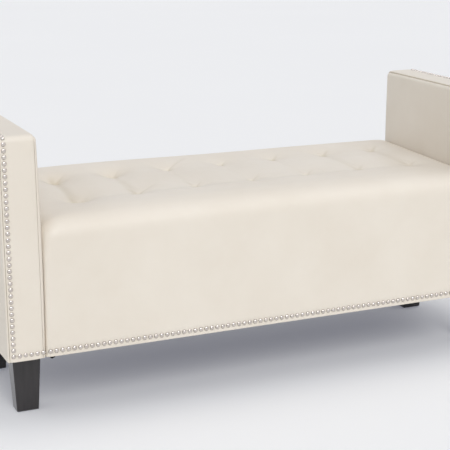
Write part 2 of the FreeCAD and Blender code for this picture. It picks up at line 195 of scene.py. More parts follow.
# Place and depth of the band's turn into its seam
BAND_TURN = (0.35 * SEAM_LIP, 0.25 * SEAM_LIP)
INNER_RINGS = 10
INNER_RING_START = 0.02
OUTER_PUFF = 0.0008
OUTER_RINGS = 5
# How deep the outer cover's edge lies in the seam, and how far beside it
OUTER_SEAM = [(0.0004, 0.0006), (0.0016, 0), (SEAM_DEPTH, 0)]

# Nailheads
TRIMS = ["front", "left_arm", "right_arm"]
NAIL_RADIUS = 0.00475
NAIL_RISE = 0.0029
NAIL_DIMPLE = 0.0009
NAIL_DIMPLE_REACH = 0.0070
# A nail's base in the frame faces back or down by this much
NAIL_BASE_FACING = 0.6
NAIL_SIDES = 20
# The rolled rim from below: share of the radius, height, painted shade
NAIL_RIM = [(0.94, -0.0006, 1.0), (1.02, -0.0001, 1.0), (1.04, 0.0003, 0.7), (1.0, 0.0007, 0.35)]
DOME_RINGS = 5
# Painted shade on the dome's lowest ring, less on each ring above
DOME_SHADE = 0.15
NAIL_LEAN = 0.02
NAIL_SUNK = (-0.0002, 0.0003)

# Dust cover
LEGS = ["front_left", "front_right", "rear_left", "rear_right"]
DUST_HOLDERS = ["front_base_rail", "rear_base_rail", "left_base_end_rail", "right_base_end_rail"]
DUST_HOLDERS += [corner + "_leg_block" for corner in LEGS]
RAIL_THICKNESS = RAIL_HIGH.y - RAIL_LOW.y
DUST_STEP = 0.012
DUST_CLOTH = 0.0005
DUST_HEM = 0.014
DUST_SAG = 0.006
DUST_ROUNDS = 400
BOLT_HOLE = 0.018
STAPLE_EDGE = 0.008
STAPLE_PITCH = 0.045
STAPLE_WIDTH = 0.011
STAPLE_WIRE = 0.0008
STAPLE_SIDES = 8
STAPLE_TURN = 0.15
# Any direction across a wire
WIRE_ASIDE = (0.3, 0.5, 0.7)
# One staple from end to end: share of half its width, height
STAPLE_FORM = [(-1, 0.0012), (-1, 0.0005), (-0.93, 0), (0.93, 0), (1, 0.0005), (1, 0.0012)]
# A staple is missing here at the front, and the edge hangs down
LOOSE_X = -0.531
LOOSE_WIDTH = 0.009
LOOSE_REACH = 0.024
LOOSE_DROP = 0.015

# Cloth simulation
CLOTH = {"quality": 6, "mass": 0.1, "tension_stiffness": 25, "compression_stiffness": 25,
         "shear_stiffness": 12, "bending_stiffness": 4, "use_pressure": True,
         "uniform_pressure_force": 3.0}
SETTLE_FRAMES = 20
SETTLE_CAP = 0.004
SETTLE_SMOOTHING = 6

# Camera, found from the photograph's edges
CAMERA_PLACE = (-1.2639, -2.8598, 1.1177)
CAMERA_YAW = 0.40753
CAMERA_PITCH = 0.24973
CAMERA_ROLL = -0.0091
CAMERA_SENSOR = 36.0
CAMERA_LENS = 108.07

# Lamps: name, azimuth, elevation, level and softness
LAMPS = [("key", -8, 37, 0.42, 24), ("left", -80, 35, 0.12, 60), ("fill", 80, 55, 0.18, 50)]
# Light from the surround at the horizon and at the zenith, its colour, and the colour that is seen
SURROUND = (0.51, 0.48)
SURROUND_LIGHT = (0.98, 0.99, 1.0, 1)
SURROUND_SEEN = (0.83, 0.838, 0.875, 1)
FLOOR_HALF = 40.0
# Part of the floor's brightness that shadows don't reach
FLOOR_GLOW = 0.18
FLOOR_GLOW_COLOUR = (0.77, 0.79, 0.96, 1)

chance = random.Random(7)


# Drawing covers

class Path:
    """A line in the YZ plane of straight runs and quarter turns to the right. Its left is outside."""

    def __init__(self, corners, radii):
        points = []
        normals = []
        start = np.array(corners[0])
        for i in range(1, len(corners)):
            run = np.array(corners[i]) - np.array(corners[i - 1])
            along = run / np.linalg.norm(run)
            out = np.array((-along[1], along[0]))
            end = np.array(corners[i]) - along * radii[i]
            count = max(2, int(np.linalg.norm(end - start) / PATH_DETAIL))
            for share in np.linspace(0, 1, count):
                points.append(start + (end - start) * share)
                normals.append(out)
            hub = end - out * radii[i]
            if radii[i]:
                for angle in np.linspace(0, math.pi / 2, max(8, int(2 * radii[i] / PATH_DETAIL)))[1:]:
                    normal = out * math.cos(angle) + along * math.sin(angle)
                    points.append(hub + normal * radii[i])
                    normals.append(normal)
            start = hub + along * radii[i]
        self.points = np.array(points)
        self.normals = np.array(normals)
        steps = np.linalg.norm(np.diff(self.points, axis=0), axis=1)
        self.distance = np.concatenate([[0], np.cumsum(steps)])
        self.length = self.distance[-1]

    def at(self, distances):
        """Points and outward normals at the given distances along the line."""
        points, normals = (np.stack([np.interp(distances, self.distance, line) for line in values.T], 1)
                           for values in (self.points, self.normals))
        return points, normals / np.linalg.norm(normals, axis=1)[:, None]

    def nearest(self, y, z):
        """Distance along the line of its point nearest to a place."""
        return self.distance[np.argmin(np.hypot(self.points[:, 0] - y, self.points[:, 1] - z))]


def graded(low, high, coarse, marks):
    """Places from low to high, coarse apart, and closer near each mark (place, fine step, reach)."""
    places = [low]
    while places[-1] < high:
        step = coarse
        for place, fine, reach in marks:
            near = min(1.0, abs(places[-1] - place) / reach)
            step = min(step, fine + (coarse - fine) * near ** 2)
        places.append(places[-1] + step)
    places = np.array(places)
    return low + (places - low) * (high - low) / (places[-1] - low)


def share_of(value, start, span):
    """0 up to the start, 1 from a span later on, and even between."""
    return np.clip((value - start) / span, 0, 1)


class Skin:
    """Points and quads of one cover while it is drawn."""

    def __init__(self):
        self.points = np.zeros((0, 3))
        self.quads = []

    def add(self, points):
        """Take an array of points and return their numbers in the same arrangement."""
        first = len(self.points)
        self.points = np.vstack([self.points, np.reshape(points, (-1, 3))])
        return np.arange(first, len(self.points)).reshape(np.shape(points)[:-1])

    def weave(self, numbers, keep=None):
        """Join an arrangement of point numbers with quads, apart from those not kept."""
        quads = np.stack([numbers[:-1, :-1], numbers[1:, :-1], numbers[1:, 1:], numbers[:-1, 1:]], -1)
        if keep is not None:
            quads = quads[keep]
        self.quads.extend(quads.reshape(-1, 4).tolist())

    def trim(self, values):
        """Drop the points that no quad uses, here and from the values that go with the points."""
        used = np.unique(self.quads)
        number = np.zeros(len(self.points), int)
        number[used] = np.arange(len(used))
        self.points = self.points[used]
        self.quads = number[np.array(self.quads)].tolist()
        return values[used]


def points_of(piece, value="co"):
    """The place of each vertex of a piece, or another value that it has."""
    flat = np.zeros(len(piece.data.vertices) * 3)
    piece.data.vertices.foreach_get(value, flat)
    return flat.reshape(-1, 3)


def normals_of(piece):
    """The outward direction at each vertex of a piece."""
    return points_of(piece, "normal")


def put_points(piece, points):
    """Move the vertices of a piece."""
    piece.data.vertices.foreach_set("co", np.asarray(points, np.float32).ravel())
    piece.data.update()


def new_piece(name, points, faces, material):
    """A mesh object whose faces look outwards."""
    mesh = bpy.data.meshes.new(name)
    mesh.from_pydata(np.asarray(points).tolist(), [], faces)
    shell = bmesh.new()
    shell.from_mesh(mesh)
    loose = [vertex for vertex in shell.verts if not vertex.link_faces]
    bmesh.ops.delete(shell, geom=loose, context="VERTS")
    bmesh.ops.recalc_face_normals(shell, faces=shell.faces)
    middle = sum((face.calc_center_median() for face in shell.faces), Vector()) / len(shell.faces)
    outward = 0
    for face in shell.faces:
        outward += face.normal.dot(face.calc_center_median() - middle) * face.calc_area()
    if outward < 0:
        bmesh.ops.reverse_faces(shell, faces=shell.faces)
    shell.to_mesh(mesh)
    shell.free()
    mesh.shade_smooth()
    mesh.materials.append(material)
    piece = bpy.data.objects.new(name, mesh)
    bpy.context.scene.collection.objects.link(piece)
    return piece


def subdivide(piece):
    """Make a piece's own mesh finer and rounder by one step."""
    finer = piece.modifiers.new("finer", "SUBSURF")
    finer.levels = 1
    finer.render_levels = 1
    shown = piece.evaluated_get(bpy.context.evaluated_depsgraph_get())
    mesh = bpy.data.meshes.new_from_object(shown)
    piece.modifiers.clear()
    piece.data = mesh
    mesh.shade_smooth()


class Links:
    """Which points of a mesh its edges join."""

    def __init__(self, mesh):
        ends = np.zeros(len(mesh.edges) * 2, int)
        mesh.edges.foreach_get("vertices", ends)
        self.first, self.second = ends.reshape(-1, 2).T
        self.count = np.maximum(np.bincount(ends, minlength=len(mesh.vertices)), 1)

    def mean(self, values):
        """Mean over the points that are joined to each point."""
        total = np.zeros_like(values)
        np.add.at(total, self.first, values[self.second])
        np.add.at(total, self.second, values[self.first])
        return (total.T / self.count).T

    def smooth(self, values, rounds):
        """Draw each value towards its neighbours' mean, several times."""
        for step in range(rounds):
            values = (values + self.mean(values)) / 2
        return values


def settle(piece, pins):
    """Let a cover swell between its pins as cloth, and keep the shape it takes."""
    scene = bpy.context.scene
    group = piece.vertex_groups.new(name="pins")
    for tenth in range(1, 11):
        held = np.nonzero(np.round(pins * 10) == tenth)[0]
        group.add(held.tolist(), tenth / 10, "REPLACE")
    cloth = piece.modifiers.new("settle", "CLOTH")
    for name, value in CLOTH.items():
        setattr(cloth.settings, name, value)
    cloth.settings.vertex_group_mass = "pins"
    cloth.settings.effector_weights.gravity = 0
    cloth.collision_settings.use_collision = False
    for step in range(1, SETTLE_FRAMES + 1):
        scene.frame_set(step)
    shown = piece.evaluated_get(bpy.context.evaluated_depsgraph_get())
    before = points_of(piece)
    move = Links(piece.data).smooth(points_of(shown) - before, SETTLE_SMOOTHING)
    reach = np.linalg.norm(move, axis=1)
    move *= (np.minimum(1, SETTLE_CAP / np.maximum(reach, 1e-9)) * (1 - pins))[:, None]
    piece.modifiers.clear()
    piece.vertex_groups.clear()
    scene.frame_set(1)
    put_points(piece, before + move)


def store_creases(piece, values):
    """Keep a number for each vertex that the materials read: how much painted shade it gets."""
    layer = piece.data.attributes.new("crease", "FLOAT", "POINT")
    layer.data.foreach_set("value", np.asarray(values, np.float32))


def mark_creases(piece, shade_mask):
    """Store how hollow the cover is at each point, from 0 to 1, as painted shade in its creases, or the
    given painted shade where that is more.
    """
    links = Links(piece.data)
    points = points_of(piece)
    hollow = np.einsum("ij,ij->i", links.mean(points) - points, normals_of(piece))
    hollow = links.smooth(np.clip(hollow / CREASE_HOLLOW, 0, 1), CREASE_SMOOTHING)
    store_creases(piece, np.maximum(hollow, shade_mask))


def upholster(piece, nodes, shade_mask=0):
    """Finish a padded leather cover that stands for CAD nodes."""
    mark_creases(piece, shade_mask)
    wall = piece.modifiers.new("thickness", "SOLIDIFY")
    wall.thickness = COVER
    wall.offset = -1
    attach(piece, "root")
    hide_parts(*nodes)


# Materials

def new_material(name):
    """A material, its node tree and its shader."""
    material = bpy.data.materials.new(name)
    material.use_nodes = True
    return material, material.node_tree, material.node_tree.nodes["Principled BSDF"]


def feed(tree, node, values):
    """Give a node's inputs what other nodes put out, or plain values."""
    for name, value in values.items():
        if isinstance(value, bpy.types.NodeSocket):
            tree.links.new(value, node.inputs[name])
        else:
            node.inputs[name].default_value = value


def place_of(tree, stretch=(1, 1, 1)):
    """The object's own coordinates, stretched."""
    source = tree.nodes.new("ShaderNodeTexCoord")
    mapping = tree.nodes.new("ShaderNodeMapping")
    feed(tree, mapping, {"Vector": source.outputs["Object"], "Scale": stretch})
    return mapping.outputs["Vector"]


def noise_of(tree, place, scale, detail=3.0, roughness=0.5):
    """Soft random mottle."""
    texture = tree.nodes.new("ShaderNodeTexNoise")
    feed(tree, texture, {"Vector": place, "Scale": scale, "Detail": detail, "Roughness": roughness})
    return texture.outputs["Fac"]


def cells_of(tree, place, scale):
    """Rounded cells."""
    texture = tree.nodes.new("ShaderNodeTexVoronoi")
    texture.feature = "SMOOTH_F1"
    feed(tree, texture, {"Vector": place, "Scale": scale})
    return texture.outputs["Distance"]


def threads_of(tree, place, direction):
    """Uneven threads, fine as cloth, across a direction."""
    texture = tree.nodes.new("ShaderNodeTexWave")
    texture.bands_direction = direction
    feed(tree, texture, {"Vector": place, "Scale": 420, "Distortion": 0.6, "Detail": 3,
                         "Detail Scale": 1.5})
    return texture.outputs["Fac"]


def creases_of(tree):
    """How much painted shade a piece has in its creases, tuft pits, seam walls or nail rims, as stored
    with its vertices.
    """
    source = tree.nodes.new("ShaderNodeAttribute")
    source.attribute_name = "crease"
    return source.outputs["Fac"]


def spread_of(tree, factor, low, high):
    """A number between low and high as the factor goes from 0 to 1."""
    span = tree.nodes.new("ShaderNodeMapRange")
    feed(tree, span, {"Value": factor, "To Min": low, "To Max": high})
    return span.outputs["Result"]


def ramp_of(tree, factor, stops):
    """Colour of a factor, from (place, colour) stops."""
    ramp = tree.nodes.new("ShaderNodeValToRGB")
    elements = ramp.color_ramp.elements
    while len(elements) < len(stops):
        elements.new(0.5)
    for element, (place, colour) in zip(elements, stops):
        element.position = place
        element.color = (*colour, 1)
    tree.links.new(factor, ramp.inputs["Fac"])
    return ramp.outputs["Color"]


def tint_of(tree, factor, first, second):
    """First colour, turning to the second one where the factor is 1."""
    mix = tree.nodes.new("ShaderNodeMix")
    mix.data_type = "RGBA"
    feed(tree, mix, {"Factor": factor, "A": first, "B": (*second, 1)})
    return mix.outputs["Result"]


def bump_of(tree, height, strength, distance, under=None):
    """Relief from a height, over another relief if one is given."""
    bump = tree.nodes.new("ShaderNodeBump")
    feed(tree, bump, {"Height": height, "Strength": strength, "Distance": distance})
    if under is not None:
        tree.links.new(under, bump.inputs["Normal"])
    return bump.outputs["Normal"]


def make_leather():
    """Ivory leather: fine pebble grain, slow change of tone, and painted shade in its creases, tuft pits
    and seam walls.
    """
    material, tree, shader = new_material("ivory_leather")
    place = place_of(tree)
    mottle = noise_of(tree, place, scale=6, detail=4, roughness=0.6)
    tone = ramp_of(tree, mottle, [(0.3, (0.735, 0.672, 0.590)), (0.7, (0.773, 0.716, 0.640))])
    # Painted shade: the stored mark darkens the leather towards tan in creases, tuft pits and seam walls
    fold = spread_of(tree, creases_of(tree), 0, 0.55)
    shaded_tone = tint_of(tree, fold, tone, (0.47, 0.40, 0.28))
    polish = spread_of(tree, noise_of(tree, place, scale=45), 0.40, 0.54)
    pores = bump_of(tree, noise_of(tree, place, scale=2600, detail=2), strength=0.10, distance=0.0002)
    cells = cells_of(tree, place, scale=820)
    pebbles = bump_of(tree, cells, strength=0.22, distance=0.0004, under=pores)
    waves = noise_of(tree, place, scale=38, detail=2)
    ripple = bump_of(tree, waves, strength=0.10, distance=0.003, under=pebbles)
    feed(tree, shader, {"Base Color": shaded_tone, "Roughness": polish, "Normal": ripple,
                        "Specular IOR Level": 0.5})
    return material


def make_wood(name, dark, light, roughness, gloss):
    """Timber with its grain along Z, under a lacquer."""
    material, tree, shader = new_material(name)
    place = place_of(tree, (60, 60, 4))
    grain = noise_of(tree, place, scale=1.6, detail=6, roughness=0.65)
    feed(tree, shader, {
        "Base Color": ramp_of(tree, grain, [(0.3, dark), (0.72, light)]),
        "Roughness": spread_of(tree, grain, roughness * 0.85, roughness * 1.2),
        "Normal": bump_of(tree, grain, strength=0.08, distance=0.0004),
        "Specular IOR Level": 0.25,
        "Coat Weight": gloss,
        "Coat Roughness": 0.08,
    })
    return material


def make_mottled(name, dark, light, roughness, scale):
    """Board, foam, cloth or plastic with a mottled face."""
    material, tree, shader = new_material(name)
    mottle = noise_of(tree, place_of(tree), scale, detail=5, roughness=0.6)
    feed(tree, shader, {
        "Base Color": ramp_of(tree, mottle, [(0.3, dark), (0.7, light)]),
        "Roughness": spread_of(tree, mottle, roughness - 0.08, roughness + 0.08),
        "Normal": bump_of(tree, mottle, strength=0.15, distance=0.0005),
    })
    return material


def make_metal(name, dark, light, roughness):
    """Plated metal, darkened by its stored mark: painted shade under the nails' rims and up their domes.
    """
    material, tree, shader = new_material(name)
    wear = noise_of(tree, place_of(tree), scale=260, detail=4, roughness=0.6)
    tone = ramp_of(tree, wear, [(0.3, dark), (0.7, light)])
    # Colour of the painted shade at the nails' rims
    rim_shade = tuple(0.12 * value for value in dark)
    feed(tree, shader, {
        "Base Color": tint_of(tree, creases_of(tree), tone, rim_shade),
        "Roughness": spread_of(tree, wear, roughness * 0.8, roughness * 1.3),
        "Metallic": 1.0,
    })
    return material


def make_cambric():
    """Black woven dust cover."""
    material, tree, shader = new_material("black_cambric")
    place = place_of(tree)
    weave = None
    for direction in ("Y", "X"):
        threads = threads_of(tree, place, direction)
        weave = bump_of(tree, threads, strength=0.3, distance=0.0003, under=weave)
    lint = noise_of(tree, place, scale=90, detail=4, roughness=0.6)
    tone = ramp_of(tree, lint, [(0.3, (0.010, 0.010, 0.011)), (0.7, (0.022, 0.022, 0.024))])
    feed(tree, shader, {"Base Color": tone, "Normal": weave, "Roughness": 0.9})
    return material


LEATHER = make_leather()
MATERIALS = {
    "ivory_leather": LEATHER,
    "espresso_wood": make_wood("espresso_wood", (0.018, 0.016, 0.017), (0.032, 0.028, 0.029), 0.22, 0.7),
    "frame_wood": make_wood("frame_wood", (0.46, 0.31, 0.18), (0.66, 0.50, 0.33), 0.6, 0.0),
    "plywood": make_mottled("plywood", (0.50, 0.36, 0.22), (0.66, 0.52, 0.36), 0.6, 30),
    "hardboard": make_mottled("hardboard", (0.20, 0.12, 0.07), (0.28, 0.18, 0.11), 0.65, 300),
    "foam": make_mottled("foam", (0.78, 0.70, 0.48), (0.86, 0.79, 0.58), 0.9, 500),
    "wadding": make_mottled("wadding", (0.80, 0.80, 0.79), (0.90, 0.90, 0.89), 0.95, 180),
    "nickel": make_metal("nickel", (0.60, 0.54, 0.49), (0.76, 0.71, 0.66), 0.20),
    "zinc_steel": make_metal("zinc_steel", (0.50, 0.51, 0.52), (0.66, 0.67, 0.68), 0.35),
    "black_cambric": make_cambric(),
    "glide_plastic": make_mottled("glide_plastic", (0.02, 0.02, 0.021), (0.032, 0.032, 0.034), 0.5, 220),
    "twine": make_mottled("twine", (0.62, 0.55, 0.42), (0.74, 0.68, 0.55), 0.85, 700),
}


def dress_nodes():
    """Give every CAD node the material of its slot in the record."""
    for part in frame["record"]["subparts"]:
        holder = frame["nodes"][part["node"]]
        holder.data.materials.clear()
        holder.data.materials.append(MATERIALS[part["material_slot"]])


# Nailheads

def nail_places(node):
    """Middle of the base and outward direction of every nailhead in a CAD node."""
    shell = bmesh.new()
    shell.from_mesh(frame["nodes"][node].data)
    bmesh.ops.remove_doubles(shell, verts=shell.verts, dist=1e-5)
    shell.normal_update()
    behind = Vector((0, 1, -1)).normalized()
    bases = {face for face in shell.faces if face.normal.dot(behind) > NAIL_BASE_FACING}
    nails = []
    while bases:
        grown = [bases.pop()]
        for face in grown:
            for edge in face.edges:
                for other in edge.link_faces:
                    if other in bases:
                        bases.remove(other)
                        grown.append(other)
        rim = {vertex for face in grown for vertex in face.verts}
        middle = sum((vertex.co for vertex in rim), Vector()) / len(rim)
        normal = -sum((face.normal * face.calc_area() for face in grown), Vector()).normalized()
        nails.append((middle.copy(), normal))
    shell.free()
    return sorted(nails, key=lambda nail: tuple(round(value, 5) for value in nail[0]))


NAILS = {trim + "_nailheads": nail_places(trim + "_nailheads") for trim in TRIMS}


def nail_profile():
    """Radius, height and painted shade from under the rim to the top of the dome."""
    rings = [(share * NAIL_RADIUS, height, rim_shade) for share, height, rim_shade in NAIL_RIM]
    low = NAIL_RIM[-1][1]
    for step in range(1, DOME_RINGS + 1):
        angle = math.radians(90 * step / (DOME_RINGS + 1))
        height = low + (NAIL_RISE - low) * math.sin(angle)
        rings.append((NAIL_RADIUS * math.cos(angle), height, DOME_SHADE / step))
    return rings


def make_nails(name, node):
    """Domed nails with rolled rims, each set by hand and so a little out of true."""
    rings = nail_profile()
    skin = Skin()
    faces = []
    rim_shade = []
    for middle, normal in NAILS[node]:
        lean = Vector([chance.gauss(0, NAIL_LEAN) for axis in range(3)])
        turn = (normal + lean).normalized().to_track_quat("Z", "Y").to_matrix()
        sunk = chance.uniform(*NAIL_SUNK)
        points = []
        for radius, height, ring_shade in rings:
            for step in range(NAIL_SIDES):
                angle = 2 * math.pi * step / NAIL_SIDES
                local = Vector((radius * math.cos(angle), radius * math.sin(angle), height - sunk))
                points.append(middle + turn @ local)
                rim_shade.append(ring_shade)
        numbers = skin.add(np.array(points).reshape(len(rings), NAIL_SIDES, 3))
        skin.weave(np.hstack([numbers, numbers[:, :1]]))
        top = skin.add(np.array([middle + turn @ Vector((0, 0, NAIL_RISE - sunk))]))[0]
        rim_shade.append(0.0)
        ring = numbers[-1]
        faces += np.stack([ring, np.roll(ring, -1), np.full(NAIL_SIDES, top)], 1).tolist()
    piece = new_piece(name, skin.points, skin.quads + faces, MATERIALS["nickel"])
    # Painted shade: darkest under the rim, fading up the dome
    store_creases(piece, rim_shade)
    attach(piece, "root")
    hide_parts(node)


def press_nails(piece, nails):
    """Dimple a cover under its nails."""
    points = points_of(piece)
    for middle, normal in nails:
        away = np.linalg.norm(points - np.array(middle), axis=1)
        near = away < 3 * NAIL_DIMPLE_REACH
        push = NAIL_DIMPLE * np.exp(-(away[near] / NAIL_DIMPLE_REACH) ** 2)
        points[near] -= push[:, None] * np.array(normal)
    put_points(piece, points)


# Seat

def tuft_places():
    """Column, row and place of each tuft, beside the frame's twines."""
    columns = np.linspace(TWINE_LOW.x + TWINE_RADIUS, TWINE_HIGH.x - TWINE_RADIUS, len(TUFT_PULL[0]))
    rows = np.linspace(TWINE_LOW.y + TWINE_RADIUS, TWINE_HIGH.y - TWINE_RADIUS, len(TUFT_PULL))
    places = []
    for column, x in enumerate(columns):
        for row, y in enumerate(rows):
            places.append((column, row, x + TUFT_DRIFT[row], y))
    return places


TUFTS = tuft_places()
TUFT_X = [x for column, row, x, y in TUFTS if row == 0]
TUFT_Y = sorted({y for column, row, x, y in TUFTS})


def tuft_fall(x, y):
    """How far the tufts and the valleys between their rows draw the seat down."""
    past = np.maximum(0, np.maximum(TUFT_Y[0] - y, y - TUFT_Y[-1]))
    between = np.exp(-(past / VALLEY_END) ** 2)
    pitch = TUFT_X[1] - TUFT_X[0]
    lean = (TUFT_DRIFT[1] - TUFT_DRIFT[0]) * (y - TUFT_Y[0]) / (TUFT_Y[1] - TUFT_Y[0])
    fall = PILLOW_RISE * np.cos(2 * math.pi * (x - TUFT_X[0] - lean) / pitch) * between
    for column, row, tuft_x, tuft_y in TUFTS:
        away = np.sqrt((x - tuft_x) ** 2 + (y - tuft_y) ** 2 + TUFT_TIP ** 2) - TUFT_TIP
        pit = TUFT_DEPTH * np.exp(-away / TUFT_FALL) + PIT_DEPTH * np.exp(-away / PIT_FALL)
        fall = fall + TUFT_PULL[row][column] * pit
    for column, tuft_x in enumerate(TUFT_X):
        off = x - tuft_x - lean
        beside = np.sqrt(off ** 2 + VALLEY_TIP ** 2) - VALLEY_TIP
        width = np.where(off < 0, VALLEY_LEFT, VALLEY_RIGHT)
        depth = VALLEY_DEPTH * (TUFT_PULL[0][column] + TUFT_PULL[1][column]) / 2
        fall = fall + depth * np.exp(-beside / width) * between
    return fall


def eased(place, start, end):
    """0 at the start and 1 at the end, with a soft rise between."""
    share = share_of(place, start, end - start)
    return share ** 2 * (3 - 2 * share)


def seat_end(where):
    """How far the seat reaches along X at places in the YZ plane: close up to the arm's pad."""
    return (arm_face_x(where[:, 0], where[:, 1]) - ARM_GAP)[:, None]


def draw_seat():
    """The seat cover's skin, and how strongly each of its points is held."""
    corners = [(FRONT + HEM_WIDTH, BOTTOM), (FRONT, BOTTOM), (FRONT, SEAT_TOP), (REAR, SEAT_TOP),
               (REAR, REAR_HIGH.z), (REAR - SEAM_DEPTH, REAR_HIGH.z)]
    path = Path(corners, [0, HEM_RADIUS, FRONT_ROLL, REAR_ROLL, BACK_LIP, 0])
    marks = [(path.nearest(y, SEAT_TOP), *TUFT_FINE_ALONG) for y in TUFT_Y]
    marks.append((path.nearest(FRONT, BOTTOM), *EDGE_FINE))
    marks.append((path.nearest(REAR, REAR_HIGH.z), *SEAM_FINE))
    rows = graded(0, path.length, SEAT_ROW_STEP, marks)
    where, out = path.at(rows)
    out_y = out[:, :1]
    out_z = out[:, 1:]
    along = rows - path.nearest(FRONT, BOTTOM)
    places, widths, drops = zip(*END_ROLL)
    width = np.interp(along, places, widths)[:, None]
    drop = np.interp(along, places, drops)[:, None]
    depth = np.interp(along, *zip(*END_DEPTH))[:, None]
    end = seat_end(where)
    marks = [np.array((x, *TUFT_FINE_ACROSS)) / SEAT_END for x in TUFT_X]
    across = graded(-1, 1, SEAT_COLUMN_STEP / SEAT_END, marks)
    arc = np.linspace(0, math.pi / 2, END_ARC_STEPS + 1)[1:]
    wall = np.linspace(0, 1, END_WALL_STEPS + 1)[1:]
    side_x = np.hstack([end - width + width * np.sin(arc), np.repeat(end, len(wall), 1)])
    wall_in = drop + np.maximum(END_WALL_LEAST, depth - drop) * wall
    side_in = np.hstack([drop * (1 - np.cos(arc)), wall_in])
    x = np.hstack([-side_x[:, ::-1], (end - width) * across, side_x])
    inset = np.hstack([side_in[:, ::-1], np.zeros((len(rows), len(across))), side_in])
    y = where[:, :1] - out_y * inset
    z = where[:, 1:] - out_z * inset
    height = share_of(z, BOTTOM, SEAT_TOP - BOTTOM)
    z = z - height * (x ** 2 + y ** 2) / (2 * SEAT_BALL)
    z = z + LIFT * eased(x, *LIFT_X) * eased(y, *LIFT_Y) * eased(z, REAR_HIGH.z, SEAT_TOP)
    inner = np.clip(1 - (x / SEAT_END) ** 6, 0, 1)
    y = y + out_y * FRONT_PUFF * np.sin(math.pi * height) * inner
    at_end = share_of(inset, 0, END_FADE)
    on_top = share_of(out_z, *TOP_FROM) * (1 - at_end)
    held = share_of(HELD_BELOW - height, 0, HELD_FADE) * (out_y < 0)
    held = np.maximum(held, at_end)
    held = np.maximum(held, share_of(y - TUFT_Y[-1], *REAR_HOLD))
    for column, row, tuft_x, tuft_y in TUFTS:
        away = (x - tuft_x) ** 2 + (y - tuft_y) ** 2
        held = np.maximum(held, np.exp(-away / TUFT_HOLD ** 2) * on_top)
    held[out[:, 1] < -HELD_UNDER] = 1
    held[-SEAM_ROWS:] = 1
    z = z - on_top * (tuft_fall(x, y) + SETTLE_ROOM * (1 - held))
    hem = out_z[:-1] < -TURNED_UNDER
    in_wall = (inset > drop)[1:, :-1] | (inset > drop)[1:, 1:]
    skin = Skin()
    skin.weave(skin.add(np.stack([x, y, z], -1)), ~(hem & in_wall))
    return skin, skin.trim(held.ravel())


def crease_angles(column, row):
    """Direction, length and depth of the folds that a tuft pulls into the leather."""
    main_fold = (*LONG_FOLDS.get((column, row), MAIN_FOLD), MAIN_FOLD_DEPTH)
    folds = []
    for angle, length, depth in [main_fold, *SHORT_FOLDS, CROSS_FOLDS[row]]:
        turn = math.radians(angle + chance.uniform(*FOLD_TURNS))
        length = length * chance.uniform(*FOLD_LENGTHS)
        folds.append((turn, length, depth * chance.uniform(*FOLD_DEPTHS)))
    return folds


def fold_seat(piece):
    """Fold the leather round each tuft."""
    points = points_of(piece)
    x = points[:, 0].copy()
    y = points[:, 1].copy()
    on_top = share_of(normals_of(piece)[:, 2], *FOLD_FROM) * (points[:, 2] > SEAT_TOP - TOP_REACH)
    for column, row, tuft_x, tuft_y in TUFTS:
        for angle, length, depth in crease_angles(column, row):
            along = (x - tuft_x) * math.cos(angle) + (y - tuft_y) * math.sin(angle)
            beside = (y - tuft_y) * math.cos(angle) - (x - tuft_x) * math.sin(angle)
            ahead = np.clip(along, 0, None)
            beside = beside - FOLD_BEND * ahead ** 2 / length
            width = FOLD_WIDTH + FOLD_SPREAD * ahead
            run = share_of(along, 0, FOLD_START) * (1 - share_of(along, 0, length))
            groove = np.exp(-(beside / width) ** 2)
            lip = np.exp(-((beside + LIP_PLACE * width) / (LIP_WIDTH * width)) ** 2)
            points[:, 2] -= on_top * run * depth * (groove - LIP_RISE * lip)
    put_points(piece, points)


def tuft_pit_shade(points):
    """How much painted shade the leather gets in the pit of each tuft."""
    shade_mask = np.zeros(len(points))
    for column, row, tuft_x, tuft_y in TUFTS:
        away = np.hypot(points[:, 0] - tuft_x, points[:, 1] - tuft_y)
        shade_mask = np.maximum(shade_mask, TUFT_PIT_SHADE * TUFT_PULL[row][column] * np.exp(-away / PIT_SHADE_REACH))
    return shade_mask * (points[:, 2] > SEAT_TOP - TOP_REACH)


def make_seat():
    """The tufted cushion: its cover from the bottom of the front over the top to the rear seam."""
    skin, held = draw_seat()
    piece = new_piece("seat_cushion", skin.points, skin.quads, LEATHER)
    settle(piece, held)
    subdivide(piece)
    fold_seat(piece)
    press_nails(piece, NAILS["front_nailheads"])
    nodes = ["seat_cover", "seat_foam", "seat_front_padding"]
    # The seat cover gets painted shade in its tuft pits
    upholster(piece, nodes, tuft_pit_shade(points_of(piece)))


